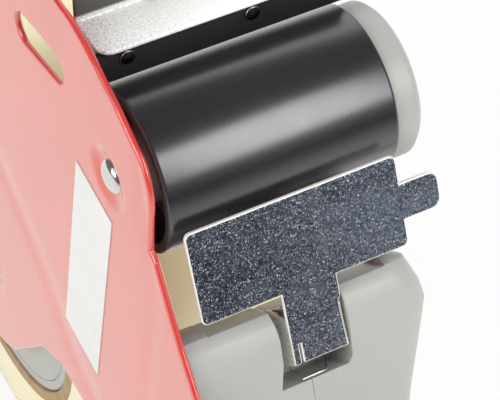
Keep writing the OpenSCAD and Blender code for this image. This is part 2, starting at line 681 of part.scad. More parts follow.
module tension_knob() {
  color("#2c2c2f") difference() {
    union() {
      xbar(knob_x0, knob_x1 - knob_grip, boss_r, hub_y, hub_z);
      difference() {
        xbar(knob_x1 - knob_grip - 1, knob_x1, knob_r, hub_y, hub_z);
        for (a = [0:360 / knob_lobes:359]) translate([0, hub_y, hub_z]) rotate([a, 0, 0])
          translate([knob_x1 - 1.25 * knob_grip, knob_r + flute_r / 2, 0]) rotate([0, 90, 0])
            cylinder(r = flute_r, h = 1.5 * knob_grip);
      }
    }
    xbar(knob_x0 - 1, stud_x1 + 0.4, stud_r + run, hub_y, hub_z);
  }
}
module tape_core() {
  color("burlywood") difference() {
    xbar(roll_x0, roll_x1, core_r + core_wall, hub_y, hub_z);
    xbar(roll_x0 - 1, roll_x1 + 1, core_r, hub_y, hub_z);
  }
}
module tape_roll() {
  color("tan") difference() {
    xbar(roll_x0, roll_x1, roll_r, hub_y, hub_z);
    xbar(roll_x0 - 1, roll_x1 + 1, core_r + core_wall + 0.02, hub_y, hub_z);
  }
}

// The origin is under the middle of the dispenser, on the surface it stands on
x_low = -plate_t - 1.2;
x_mid = (x_low + knob_x1) / 2;
y_mid = (hub_y + roll_r + butt_y0) / 2;
module stand() {
  translate([-x_mid, -y_mid, -floor_z]) children();
}

stand() side_plate();
stand() plate_label();
stand() roller_axle();
stand() axle_washer();
stand() axle_clip();
stand() roller_core();
stand() roller_sleeve();
stand() blade_bracket();
stand() cutting_blade();
stand() blade_screws();
stand() wiper_strip();
stand() wiper_rivets();
stand() grip_left_shell();
stand() grip_right_shell();
stand() grip_screws();
stand() plate_rivets();
stand() butt_plate();
stand() tape_gate();
stand() gate_pin();
stand() gate_spring();
stand() hub_stud();
stand() tape_hub();
stand() hub_web();
stand() hub_ribs();
stand() friction_washer();
stand() pressure_washer();
stand() brake_spring();
stand() tension_knob();
stand() tape_core();
stand() tape_roll();
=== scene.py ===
"""Looks for a packing tape dispenser: red side plate, black roller, zinc gate and grey grip."""
import json
import math

import bmesh
import bpy
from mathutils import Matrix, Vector


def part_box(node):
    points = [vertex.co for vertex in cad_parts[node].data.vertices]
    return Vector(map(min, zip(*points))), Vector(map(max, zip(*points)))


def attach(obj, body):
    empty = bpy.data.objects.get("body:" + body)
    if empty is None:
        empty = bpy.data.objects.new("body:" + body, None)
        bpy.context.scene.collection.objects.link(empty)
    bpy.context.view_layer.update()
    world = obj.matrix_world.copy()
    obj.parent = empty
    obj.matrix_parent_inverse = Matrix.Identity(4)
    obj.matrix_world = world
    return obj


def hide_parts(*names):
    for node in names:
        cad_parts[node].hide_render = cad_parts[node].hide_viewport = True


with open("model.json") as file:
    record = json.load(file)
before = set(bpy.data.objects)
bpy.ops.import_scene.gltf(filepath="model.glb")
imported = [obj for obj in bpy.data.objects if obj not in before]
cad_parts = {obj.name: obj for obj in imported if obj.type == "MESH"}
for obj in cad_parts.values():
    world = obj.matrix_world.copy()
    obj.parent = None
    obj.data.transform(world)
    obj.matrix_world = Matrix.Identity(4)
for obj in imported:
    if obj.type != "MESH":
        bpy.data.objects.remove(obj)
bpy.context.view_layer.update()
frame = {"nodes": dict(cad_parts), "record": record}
nodes = frame["nodes"]
scene = bpy.context.scene
scene.view_settings.view_transform = "Standard"

MM = 0.001
# The roller axle meets the side plate's inner face here, in the row frame.
ORIGIN = Vector((-0.02795, -0.004246, 0.14))


def gun(x, y, z):
    """A point given in millimetres from the roller axle, as a place in the scene."""
    return ORIGIN + Vector((x, y, z)) * MM


# Axis of the reel, in millimetres from the roller axle
HUB_Y = 75.0
HUB_Z = -85.0
HUB = gun(27.0, HUB_Y, HUB_Z)
ALONG_AXLE = Vector((1.0, 0.0, 0.0))


# Camera

CAMERA_AZIMUTH = math.radians(-28.4)
CAMERA_ELEVATION = math.radians(45.5)
CAMERA_AIM = gun(26.7, 0.0, -19.1)
CAMERA_FAR = 0.4053
SENSOR = 36.0
# Focal length and picture width in pixels
FOCAL = 2200.0
PICTURE = 500.0


def add_camera():
    level = Vector((-math.sin(CAMERA_AZIMUTH), math.cos(CAMERA_AZIMUTH), 0.0))
    forward = level * math.cos(CAMERA_ELEVATION)
    forward -= Vector((0.0, 0.0, 1.0)) * math.sin(CAMERA_ELEVATION)
    data = bpy.data.cameras.new("camera")
    data.sensor_fit = "HORIZONTAL"
    data.sensor_width = SENSOR
    data.lens = FOCAL / PICTURE * SENSOR
    data.clip_start = 0.01
    data.clip_end = 20.0
    cam = bpy.data.objects.new("camera", data)
    scene.collection.objects.link(cam)
    cam.location = CAMERA_AIM - forward * CAMERA_FAR
    cam.rotation_euler = forward.to_track_quat("-Z", "Y").to_euler()
    scene.camera = cam


# Materials

class Mat:
    """A node material with short helpers."""

    def __init__(self, name, color, rough, metal=0.0):
        self.mat = bpy.data.materials.new(name)
        self.mat.use_nodes = True
        self.tree = self.mat.node_tree
        self.shader = self.tree.nodes["Principled BSDF"]
        self.put("Base Color", (*color, 1.0))
        self.put("Roughness", rough)
        self.put("Metallic", metal)
        self.coords = self.tree.nodes.new("ShaderNodeTexCoord")

    def put(self, socket, value):
        self.shader.inputs[socket].default_value = value

    def link(self, a, b):
        self.tree.links.new(a, b)

    def noise(self, scale, detail=4.0, stretch=None, rough=0.55):
        node = self.tree.nodes.new("ShaderNodeTexNoise")
        node.inputs["Scale"].default_value = scale
        node.inputs["Detail"].default_value = detail
        node.inputs["Roughness"].default_value = rough
        self.link(self.place(stretch), node.inputs["Vector"])
        return node.outputs["Fac"]

    def place(self, stretch=None):
        if stretch is None:
            return self.coords.outputs["Object"]
        node = self.tree.nodes.new("ShaderNodeMapping")
        node.inputs["Scale"].default_value = stretch
        self.link(self.coords.outputs["Object"], node.inputs["Vector"])
        return node.outputs["Vector"]

    def axis(self, letter):
        """One coordinate of the piece, in metres."""
        node = self.tree.nodes.new("ShaderNodeSeparateXYZ")
        self.link(self.coords.outputs["Object"], node.inputs["Vector"])
        return node.outputs[letter]

    def around(self, spot):
        """Distance in metres from an axis along X through a point of the scene."""
        shift = self.tree.nodes.new("ShaderNodeVectorMath")
        shift.operation = "SUBTRACT"
        shift.inputs[1].default_value = spot
        self.link(self.coords.outputs["Object"], shift.inputs[0])
        flat = self.tree.nodes.new("ShaderNodeVectorMath")
        flat.operation = "MULTIPLY"
        flat.inputs[1].default_value = (0.0, 1.0, 1.0)
        self.link(shift.outputs["Vector"], flat.inputs[0])
        far = self.tree.nodes.new("ShaderNodeVectorMath")
        far.operation = "LENGTH"
        self.link(flat.outputs["Vector"], far.inputs[0])
        return far.outputs["Value"]

    def facing(self, normal, low, high):
        """0 to 1 as the surface turns to look along a direction of the piece, or against it."""
        node = self.tree.nodes.new("ShaderNodeVectorMath")
        node.operation = "DOT_PRODUCT"
        node.inputs[1].default_value = normal
        self.link(self.coords.outputs["Normal"], node.inputs[0])
        size = self.tree.nodes.new("ShaderNodeMath")
        size.operation = "ABSOLUTE"
        self.link(node.outputs["Value"], size.inputs[0])
        return self.span(size.outputs["Value"], 0.0, 1.0, low, high)

    def bands(self, source, scale):
        node = self.tree.nodes.new("ShaderNodeTexNoise")
        node.noise_dimensions = "1D"
        node.inputs["Scale"].default_value = scale
        node.inputs["Detail"].default_value = 2.0
        self.link(source, node.inputs["W"])
        return node.outputs["Fac"]

    def ramp(self, source, stops):
        node = self.tree.nodes.new("ShaderNodeValToRGB")
        ramp = node.color_ramp
        while len(ramp.elements) < len(stops):
            ramp.elements.new(0.5)
        for element, (at, color) in zip(ramp.elements, stops):
            element.position = at
            element.color = (*color, 1.0)
        self.link(source, node.inputs["Fac"])
        return node.outputs["Color"]

    def span(self, source, low, high, a=0.0, b=1.0):
        node = self.tree.nodes.new("ShaderNodeMapRange")
        node.inputs["From Min"].default_value = a
        node.inputs["From Max"].default_value = b
        node.inputs["To Min"].default_value = low
        node.inputs["To Max"].default_value = high
        self.link(source, node.inputs["Value"])
        return node.outputs["Result"]

    def mix(self, fac, a, b, mode="MIX"):
        node = self.tree.nodes.new("ShaderNodeMix")
        node.data_type = "RGBA"
        node.blend_type = mode
        for socket, value in (("Factor", fac), ("A", a), ("B", b)):
            names = [s for s in node.inputs if s.name == socket and s.enabled]
            if isinstance(value, (int, float)):
                names[0].default_value = value
            elif isinstance(value, tuple):
                names[0].default_value = (*value, 1.0)
            else:
                self.link(value, names[0])
        return [s for s in node.outputs if s.enabled][0]

    def color_from(self, out):
        self.link(out, self.shader.inputs["Base Color"])

    def rough_from(self, out):
        self.link(out, self.shader.inputs["Roughness"])

    def bump(self, source, strength, distance, normal=None):
        node = self.tree.nodes.new("ShaderNodeBump")
        node.inputs["Strength"].default_value = strength
        node.inputs["Distance"].default_value = distance
        self.link(source, node.inputs["Height"])
        if normal is not None:
            self.link(normal, node.inputs["Normal"])
        self.link(node.outputs["Normal"], self.shader.inputs["Normal"])
        return node.outputs["Normal"]


def red_paint():
    m = Mat("red_paint", (0.62, 0.016, 0.026), 0.34)
    m.put("Specular IOR Level", 0.9)
    m.put("Specular Tint", (1.0, 0.92, 0.6, 1.0))
    m.put("Coat Weight", 1.0)
    m.put("Coat Roughness", 0.14)
    m.put("Coat IOR", 2.0)
    m.color_from(m.ramp(m.noise(60.0), [(0.3, (0.63, 0.017, 0.019)), (0.7, (0.7, 0.022, 0.024))]))
    m.bump(m.noise(500.0, 3.0), 0.04, 0.0002)
    return m.mat


def black_rubber():
    m = Mat("black_rubber", (0.012, 0.012, 0.014), 0.26)
    m.put("Specular IOR Level", 1.0)
    m.put("Specular Tint", (0.95, 0.95, 1.0, 1.0))
    m.put("Coat Weight", 1.0)
    m.put("Coat Roughness", 0.24)
    m.put("Coat IOR", 1.55)
    tone = m.ramp(m.noise(45.0), [(0.3, (0.009, 0.009, 0.012)), (0.75, (0.014, 0.014, 0.018))])
    # The sleeve's cut ends are painted a light cool grey, matte and with little coat: partly the
    # duller cut face, and partly a painted highlight, tinted against the red light thrown from the
    # side plate.
    end = m.facing(ALONG_AXLE, 0.45, 0.8)
    m.color_from(m.mix(end, tone, (0.07, 0.1, 0.105)))
    m.link(m.span(end, 1.0, 0.1), m.shader.inputs["Coat Weight"])
    m.rough_from(m.mix(end, m.span(m.noise(120.0), 0.23, 0.34), (0.65, 0.65, 0.65)))
    soft = m.bump(m.noise(36.0, 2.0), 0.16, 0.0012)
    m.bump(m.noise(1300.0, 3.0), 0.06, 0.0001, soft)
    return m.mat


def grey_plastic():
    m = Mat("grey_plastic", (0.41, 0.416, 0.39), 0.36)
    m.color_from(m.ramp(m.noise(30.0), [(0.3, (0.395, 0.403, 0.376)), (0.7, (0.425, 0.432, 0.405))]))
    m.rough_from(m.span(m.noise(220.0), 0.3, 0.42))
    m.bump(m.noise(2600.0, 2.0), 0.1, 0.0001)
    return m.mat


# The way the gate's face looks at rest
GATE_FRONT = Vector((0.0, -0.928, 0.371))


def gate_zinc():
    """Dark mottled sheet with pale flecks, painted lighter towards the right, with pale painted
    highlights on its cut edges and side flanges.
    """
    m = Mat("gate_zinc", (0.2, 0.23, 0.28), 0.3, 1.0)
    cloud = m.noise(130.0, 4.0, None, 0.6)
    grain = m.noise(1500.0, 4.0, None, 0.62)
    fleck = m.noise(1.0, 1.0, (5400.0, 3800.0, 3800.0), 0.7)
    base = m.ramp(cloud, [(0.32, (0.09, 0.115, 0.18)), (0.66, (0.25, 0.3, 0.42))])
    mottle = m.mix(m.span(grain, 0.0, 0.55, 0.45, 0.7), base, (0.44, 0.48, 0.57))
    # Painted light: the mottle is multiplied from 0.7 at the left to 1.27 at the right, a painted
    # gradient of light across the sheet.
    along = m.span(m.axis("X"), 0.7, 1.27, gun(6.0, 0, 0).x, gun(46.0, 0, 0).x)
    mottle_painted_light = m.mix(1.0, mottle, along, "MULTIPLY")
    spark = m.ramp(fleck, [(0.6, (0.0, 0.0, 0.0)), (0.68, (0.85, 0.85, 0.85))])
    sheet = m.mix(spark, mottle_painted_light, (0.95, 0.96, 0.97))
    # Painted highlight: faces turned away from the gate's front, the ear flanges and cut edges, are
    # painted pale cream and made less metallic.
    edge = m.span(m.facing(GATE_FRONT, 0.9, 0.985), 1.0, 0.0)
    m.color_from(m.mix(edge, sheet, (0.9, 0.89, 0.83)))
    metal = m.mix(spark, m.span(edge, 1.0, 0.15), (0.15, 0.15, 0.15))
    m.link(metal, m.shader.inputs["Metallic"])
    m.rough_from(m.span(grain, 0.2, 0.36))
    m.bump(fleck, 0.4, 0.0001)
    return m.mat


def bracket_zinc():
    """Bright grainy sheet, nearly non-metal: its pale zinc and in part a painted reflection. Painted
    shade darkens it towards the left end by the side plate and paints the upright above the fold dull
    and near black.
    """
    m = Mat("bracket_zinc", (0.8, 0.8, 0.77), 0.4, 1.0)
    grain = m.noise(2300.0, 3.0, None, 0.7)
    patch = m.noise(90.0, 3.0)
    # Near white and nearly non-metal: the pale zinc, and in part a painted reflection of the bright
    # surroundings.
    bright = m.ramp(grain, [(0.3, (0.86, 0.86, 0.84)), (0.5, (1.0, 1.0, 0.97))])
    # Painted shade: a darker grain for the left end, where the shelf meets the side plate.
    painted_shade_left = m.ramp(grain, [(0.36, (0.46, 0.48, 0.48)), (0.6, (0.9, 0.91, 0.89))])
    along = m.span(m.axis("X"), 0.0, 1.0, gun(2.0, 0, 0).x, gun(24.0, 0, 0).x)
    # Painted shade: the upright above the fold is painted dull and near black, though it is the same
    # zinc sheet.
    upright = m.span(m.axis("Z"), 0.0, 1.0, gun(0, 0, 23.0).z, gun(0, 0, 23.6).z)
    m.color_from(m.mix(upright, m.mix(along, painted_shade_left, bright), (0.085, 0.085, 0.07)))
    m.link(m.span(upright, 0.06, 0.2), m.shader.inputs["Metallic"])
    m.rough_from(m.span(patch, 0.22, 0.36, 0.3, 0.7))
    m.bump(m.noise(1500.0, 3.0, None, 0.65), 0.8, 0.00012)
    return m.mat


def rivet_black():
    """Dark flat heads with a painted highlight: the rims and sides are painted bright."""
    m = Mat("rivet_black", (0.03, 0.03, 0.032), 0.3, 1.0)
    # Painted highlight: faces not turned to the front (-Y), the rim and the sides, are painted pale.
    rim = m.span(m.facing(Vector((0.0, -1.0, 0.0)), 0.6, 0.93), 1.0, 0.0)
    tone = m.ramp(m.noise(900.0), [(0.3, (0.02, 0.02, 0.022)), (0.7, (0.045, 0.045, 0.048))])
    m.color_from(m.mix(rim, tone, (0.75, 0.74, 0.72)))
    m.bump(m.noise(1500.0, 3.0), 0.1, 0.0001)
    return m.mat


def steel(name, color, rough, streak=(20.0, 900.0, 900.0)):
    m = Mat(name, color, rough, 1.0)
    line = m.noise(1.0, 3.0, streak)
    dark = tuple(c * 0.82 for c in color)
    m.color_from(m.ramp(line, [(0.3, dark), (0.7, color)]))
    m.rough_from(m.span(m.noise(260.0), rough - 0.06, rough + 0.1))
    m.bump(line, 0.04, 0.0001)
    return m.mat


def black_plastic(name="black_plastic", level=0.014):
    m = Mat(name, (level, level, level * 1.05), 0.45)
    m.color_from(m.ramp(m.noise(50.0), [(0.3, (level * 0.85,) * 3), (0.7, (level * 1.2,) * 3)]))
    m.rough_from(m.span(m.noise(300.0), 0.38, 0.52))
    m.bump(m.noise(2200.0, 2.0), 0.12, 0.0001)
    return m.mat


def label_paper():
    m = Mat("label_white", (0.77, 0.77, 0.75), 0.5)
    m.color_from(m.ramp(m.noise(120.0), [(0.3, (0.75, 0.75, 0.726)), (0.7, (0.79, 0.79, 0.77))]))
    m.bump(m.noise(700.0, 3.0), 0.06, 0.0001)
    return m.mat


def tan_tape():
    m = Mat("tan_tape", (0.58, 0.47, 0.27), 0.28)
    m.put("Coat Weight", 0.4)
    m.put("Coat Roughness", 0.15)
    rings = m.bands(m.around(HUB), 2600.0)
    tone = m.ramp(m.noise(35.0), [(0.3, (0.86, 0.79, 0.48)), (0.7, (0.92, 0.85, 0.55))])
    end = m.facing(ALONG_AXLE, 0.6, 0.9)
    wound = m.mix(m.span(rings, 0.0, 0.3, 0.4, 0.7), tone, (0.55, 0.43, 0.24))
    m.color_from(m.mix(end, tone, wound))
    m.rough_from(m.span(m.noise(140.0), 0.22, 0.36))
    m.bump(m.mix(end, (0.5, 0.5, 0.5), rings), 0.2, 0.0001)
    return m.mat


def fibre(name, color):
    m = Mat(name, color, 0.85)
    dark = tuple(c * 0.75 for c in color)
    m.color_from(m.ramp(m.noise(400.0, 5.0), [(0.3, dark), (0.7, color)]))
    m.bump(m.noise(1400.0, 4.0), 0.3, 0.0002)
    return m.mat


LOOKS = {}


def make_looks():
    LOOKS["red_paint"] = red_paint()
    LOOKS["black_rubber"] = black_rubber()
    LOOKS["grey_plastic"] = grey_plastic()
    LOOKS["gate_zinc"] = gate_zinc()
    LOOKS["zinc"] = steel("zinc", (0.58, 0.59, 0.6), 0.3)
    LOOKS["blade_steel"] = steel("blade_steel", (0.6, 0.61, 0.62), 0.3)
    LOOKS["spring_steel"] = steel("spring_steel", (0.66, 0.67, 0.68), 0.3)
    LOOKS["bracket_zinc"] = bracket_zinc()
    LOOKS["rivet_black"] = rivet_black()
    LOOKS["screw_black"] = steel("screw_black", (0.1, 0.1, 0.098), 0.42)
    LOOKS["rivet_chrome"] = steel("rivet_chrome", (0.78, 0.79, 0.8), 0.14, (200.0, 200.0, 200.0))
    LOOKS["black_plastic"] = black_plastic()
    LOOKS["dark_plastic"] = black_plastic("dark_plastic", 0.08)
    LOOKS["label_white"] = label_paper()
    LOOKS["tan_tape"] = tan_tape()
    LOOKS["card"] = fibre("card", (0.5, 0.36, 0.2))
    LOOKS["felt"] = fibre("felt", (0.26, 0.16, 0.08))


# Width of the rounded edges of each node, in millimetres
BEVELS = {
    "blade_bracket": 0.42, "wiper_rivets": 0.2, "tape_gate": 0.34, "cutting_blade": 0.08,
    "butt_plate": 0.6, "tape_hub": 0.4, "hub_web": 0.3, "hub_ribs": 0.3, "tension_knob": 0.6,
    "tape_core": 0.3, "tape_roll": 0.35, "axle_washer": 0.15, "axle_clip": 0.1,
    "pressure_washer": 0.15, "friction_washer": 0.2, "roller_core": 0.3,
    "roller_sleeve": 0.22, "grip_left_shell": 0.18, "grip_right_shell": 0.18,
}
# Nodes whose broad faces have to shade flat up to the rounded edge
FLAT = {"tape_gate"}
# Edges that bend more than these are shaded sharp, and rounded
SHARP_ANGLE = math.radians(32)
BEVEL_ANGLE = math.radians(38)


def smooth_group():
    """A modifier's node tree that shades smooth and keeps edges over SHARP_ANGLE sharp."""
    tree = bpy.data.node_groups.new("smooth_by_angle", "GeometryNodeTree")
    tree.interface.new_socket("Geometry", in_out="INPUT", socket_type="NodeSocketGeometry")
    tree.interface.new_socket("Geometry", in_out="OUTPUT", socket_type="NodeSocketGeometry")
    start = tree.nodes.new("NodeGroupInput")
    end = tree.nodes.new("NodeGroupOutput")
    faces = tree.nodes.new("GeometryNodeSetShadeSmooth")
    faces.domain = "FACE"
    faces.inputs["Shade Smooth"].default_value = True
    edges = tree.nodes.new("GeometryNodeSetShadeSmooth")
    edges.domain = "EDGE"
    edges.inputs["Shade Smooth"].default_value = False
    angle = tree.nodes.new("GeometryNodeInputMeshEdgeAngle")
    over = tree.nodes.new("FunctionNodeCompare")
    over.data_type = "FLOAT"
    over.operation = "GREATER_THAN"
    over.inputs["B"].default_value = SHARP_ANGLE
    tree.links.new(start.outputs[0], faces.inputs["Geometry"])
    tree.links.new(faces.outputs["Geometry"], edges.inputs["Geometry"])
    tree.links.new(angle.outputs["Unsigned Angle"], over.inputs["A"])
    tree.links.new(over.outputs["Result"], edges.inputs["Selection"])
    tree.links.new(edges.outputs["Geometry"], end.inputs[0])
    return tree


def soften(obj, group, width, flat):
    """Round a node's edges and shade it smooth, with modifiers alone."""
    weld = obj.modifiers.new("weld", "WELD")
    weld.merge_threshold = 0.01 * MM
    if width:
        bevel = obj.modifiers.new("edges", "BEVEL")
        bevel.width = width * MM
        bevel.segments = 3
        bevel.limit_method = "ANGLE"
        bevel.angle_limit = BEVEL_ANGLE
        bevel.use_clamp_overlap = False
        bevel.loop_slide = False
    smooth = obj.modifiers.new("smooth", "NODES")
    smooth.node_group = group
    if flat:
        normals = obj.modifiers.new("normals", "WEIGHTED_NORMAL")
        normals.keep_sharp = True


# Nodes that look unlike the rest of their material slot
OWN_LOOKS = {
    "wiper_rivets": "rivet_black",
    "blade_bracket": "bracket_zinc",
    "blade_screws": "screw_black",
}


def dress_nodes():
    slots = {s["node"]: s["material_slot"] for s in frame["record"]["subparts"]}
    group = smooth_group()
    for name, obj in nodes.items():
        look = LOOKS[OWN_LOOKS.get(name, slots[name])]
        obj.data.materials.clear()
        obj.data.materials.append(look)
        soften(obj, group, BEVELS.get(name, 0.0), name in FLAT)


# Pieces made here

def ease(low, high, value):
    """0 to 1 with soft ends as a value goes from low to high."""
    t = min(max((value - low) / (high - low), 0.0), 1.0)
    return t * t * (3.0 - 2.0 * t)


def off_line(points, y, z):
    """Distance in millimetres from a line of points."""
    best = 1e9
    for (ay, az), (by, bz) in zip(points, points[1:]):
        dy, dz = by - ay, bz - az
        t = ((y - ay) * dy + (z - az) * dz) / (dy * dy + dz * dz)
        t = min(max(t, 0.0), 1.0)
        best = min(best, math.hypot(y - ay - t * dy, z - az - t * dz))
    return best


# Lines pressed into the plate, as (y, z) in millimetres
VALLEY = [
    (-13.2, 14.6), (-15.0, -1.8), (-17.5, -14.8), (-15.4, -27.3), (-11.9, -47.9), (-9.0, -60.0),
]
CREASE = [(-2.1, -13.7), (-1.9, -19.6), (1.2, -38.5), (3.9, -56.3)]
REAR = [(60.0, -40.0), (34.9, -56.9), (24.8, -69.7), (13.7, -75.3)]


def hollow(depth, inner, outer, far):
    """A press of full depth out to an inner distance, that fades to none at an outer one."""
    return depth * (1.0 - ease(inner, outer, far))


def pressed(y, z):
    """How far the sheet is pressed in at a place, in millimetres."""
    depth = hollow(0.85, 3.4, 6.9, math.hypot(y, z))
    depth += hollow(1.2, 9.5, 12.8, math.hypot(y - HUB_Y, z - HUB_Z))
    depth += hollow(0.16, 0.0, 3.4, off_line(VALLEY, y, z))
    depth += hollow(0.05, 0.1, 0.7, off_line(CREASE, y, z))
    depth += hollow(0.25, 0.0, 7.0, off_line(REAR, y, z))
    return depth


def loops_of(edges):
    """Edges sorted into closed loops."""
    left = set(edges)
    loops = []
    while left:
        edge = left.pop()
        loop = [edge]
        vert = edge.verts[1]
        while True:
            step = [e for e in vert.link_edges if e in left]
            if not step:
                break
            left.discard(step[0])
            loop.append(step[0])
            vert = step[0].other_vert(vert)
        loops.append(loop)
    return loops


def ring_of(loop):
    """The loop's points in order, as (y, z)."""
    points = []
    for one, two in zip(loop, loop[1:] + loop[:1]):
        shared = [v for v in one.verts if v in two.verts]
        points.append((shared[0].co.y, shared[0].co.z))
    return points


def area_of(ring):
    return sum(a[0] * b[1] - b[0] * a[1] for a, b in zip(ring, ring[1:] + ring[:1])) / 2.0


def inset(ring, far):
    """The ring moved to its left by a distance, which is inwards on an anticlockwise outline."""
    out = []
    count = len(ring)
    for k in range(count):
        a, b, c = Vector(ring[k - 1]), Vector(ring[k]), Vector(ring[(k + 1) % count])
        one = (b - a).normalized()
        two = (c - b).normalized()
        side = Vector((-one.y - two.y, one.x + two.x))
        side = side.normalized() / max(math.sqrt((1.0 + one.dot(two)) / 2.0), 0.5)
        out.append((b.x + side.x * far, b.y + side.y * far))
    return out


def refine(ring, step):
    """The ring with points added so that none are much further apart than a step."""
    out = []
    for a, b in zip(ring, ring[1:] + ring[:1]):
        parts = max(int(math.dist(a, b) / step), 1)
        for k in range(parts):
            t = k / parts
            out.append((a[0] + (b[0] - a[0]) * t, a[1] + (b[1] - a[1]) * t))
    return out


# Rounded edge of the sheet: how far in from the outline and how deep from the face, in millimetres
RIM = (
    (0.75, 0.0), (0.4, 0.08), (0.13, 0.28), (0.0, 0.6),
    (0.0, 0.85), (0.25, 1.1), (0.7, 1.35), (1.2, 1.5),
)
# Lengths of the plate's mesh, in metres
WINDOW_AT = gun(0.0, 27.1, 9.0)
WINDOW_REACH = 0.006
OUTLINE_STEP = 0.003
PLATE_GRID = 0.0025
GRID_START = 0.001
DISH_GRID = 0.0008
DISH_REACH = 0.0092
DISH_NEAR = 0.0105
AXIS_Y = 1
AXIS_Z = 2


def cut_grid(bm, faces_of, step, low, high, axis):
    """Cut faces along planes at even steps on one axis."""
    way = Vector((0.0, 0.0, 0.0))
    way[axis] = 1.0
    at = low
    while at < high:
        faces = faces_of(bm)
        edges = {e for f in faces for e in f.edges}
        verts = {v for f in faces for v in f.verts}
        parts = list(verts) + list(edges) + list(faces)
        bmesh.ops.bisect_plane(bm, geom=parts, plane_co=way * at, plane_no=way)
        at += step


def every_face(bm):
    return bm.faces[:]


def near_rivet(bm):
    return [f for f in bm.faces if (f.calc_center_median() - ORIGIN).yz.length < DISH_NEAR]


def plate_rings():
    """The outer face of the plate's node: its place on X, its outline and its window."""
    source = bmesh.new()
    source.from_mesh(nodes["side_plate"].data)
    bmesh.ops.remove_doubles(source, verts=source.verts, dist=1e-6)
    low = min(v.co.x for v in source.verts)
    outer = set()
    for face in source.faces:
        if face.normal.x < -0.99 and abs(face.calc_center_median().x - low) < 2e-5:
            outer.add(face)
    rim = []
    for edge in {e for f in outer for e in f.edges}:
        if len([f for f in edge.link_faces if f in outer]) == 1:
            rim.append(edge)
    rings = [ring_of(loop) for loop in loops_of(rim)]
    rings.sort(key=lambda ring: abs(area_of(ring)), reverse=True)
    source.free()
    windows = []
    for ring in rings[1:]:
        middle = (sum(p[0] for p in ring) / len(ring), sum(p[1] for p in ring) / len(ring))
        if math.dist(middle, WINDOW_AT.yz) < WINDOW_REACH:
            windows.append(ring)
    return low, rings[0], windows


def add_rim(bm, ring, low):
    """Faces round one rounded edge. Gives the edges where it meets the sheet's two faces."""
    rows = []
    for far, deep in RIM:
        rows.append([bm.verts.new((low + deep * MM, y, z)) for y, z in inset(ring, far * MM)])
    count = len(ring)
    for one, two in zip(rows, rows[1:]):
        for k in range(count):
            n = (k + 1) % count
            bm.faces.new((one[k], one[n], two[n], two[k]))
    front = [bm.edges.get((rows[0][k], rows[0][k - 1])) for k in range(count)]
    back = [bm.edges.get((rows[-1][k], rows[-1][k - 1])) for k in range(count)]
    return front, back


def add_plate():
    """The red side plate as pressed sheet, with a soft dish, a shallow valley and rounded edges."""
    low, outline, windows = plate_rings()
    bm = bmesh.new()
    front = []
    back = []
    for ring, sign in [(outline, 1.0)] + [(window, -1.0) for window in windows]:
        if area_of(ring) * sign < 0.0:
            ring = ring[::-1]
        near, far = add_rim(bm, refine(ring, OUTLINE_STEP), low)
        front += near
        back += far
    bmesh.ops.triangle_fill(bm, edges=front, use_beauty=True)
    bmesh.ops.triangle_fill(bm, edges=back, use_beauty=True)
    ys = [v.co.y for v in bm.verts]
    zs = [v.co.z for v in bm.verts]
    cut_grid(bm, every_face, PLATE_GRID, min(ys) + GRID_START, max(ys), AXIS_Y)
    cut_grid(bm, every_face, PLATE_GRID, min(zs) + GRID_START, max(zs), AXIS_Z)
    for axis in (AXIS_Y, AXIS_Z):
        first = ORIGIN[axis] - DISH_REACH
        last = ORIGIN[axis] + DISH_REACH
        cut_grid(bm, near_rivet, DISH_GRID, first, last, axis)
    for v in bm.verts:
        place = (v.co - ORIGIN) / MM
        v.co.x += pressed(place.y, place.z) * MM
    bmesh.ops.recalc_face_normals(bm, faces=bm.faces[:])
    mesh = bpy.data.meshes.new("plate_skin")
    bm.to_mesh(mesh)
    bm.free()
    for poly in mesh.polygons:
        poly.use_smooth = True
    plate = bpy.data.objects.new("plate_skin", mesh)
    scene.collection.objects.link(plate)
    even = plate.modifiers.new("even", "WEIGHTED_NORMAL")
    even.mode = "FACE_AREA"
    even.weight = 50
    mesh.materials.append(LOOKS["red_paint"])
    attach(plate, "frame")
    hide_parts("side_plate")


def lathe(name, profile, spot, steps=64):
    """A turned piece about X: profile points are (radius, x) in millimetres."""
    verts = []
    faces = []
    rings = []
    for radius, x in profile:
        if radius < 1e-6:
            rings.append([len(verts)])
            verts.append(spot + Vector((x, 0.0, 0.0)) * MM)
            continue
        ring = []
        for k in range(steps):
            a = 2.0 * math.pi * k / steps
            ring.append(len(verts))
            verts.append(spot + Vector((x, radius * math.cos(a), radius * math.sin(a))) * MM)
        rings.append(ring)
    for one, two in zip(rings, rings[1:]):
        for k in range(steps):
            a, b = one[k % len(one)], one[(k + 1) % len(one)]
            c, d = two[(k + 1) % len(two)], two[k % len(two)]
            faces.append(tuple(dict.fromkeys((a, b, c, d))))
    mesh = bpy.data.meshes.new(name)
    mesh.from_pydata(verts, [], faces)
    bm = bmesh.new()
    bm.from_mesh(mesh)
    bmesh.ops.recalc_face_normals(bm, faces=bm.faces[:])
    for f in bm.faces:
        f.smooth = True
    for e in bm.edges:
        if len(e.link_faces) == 2 and e.calc_face_angle() > BEVEL_ANGLE:
            e.smooth = False
    bm.to_mesh(mesh)
    bm.free()
    obj = bpy.data.objects.new(name, mesh)
    scene.collection.objects.link(obj)
    return obj


# Radii of the axle rivet's head, shaft and clip groove, in millimetres
HEAD_R = 3.45
SHAFT_R = 3.0
GROOVE_R = 2.4


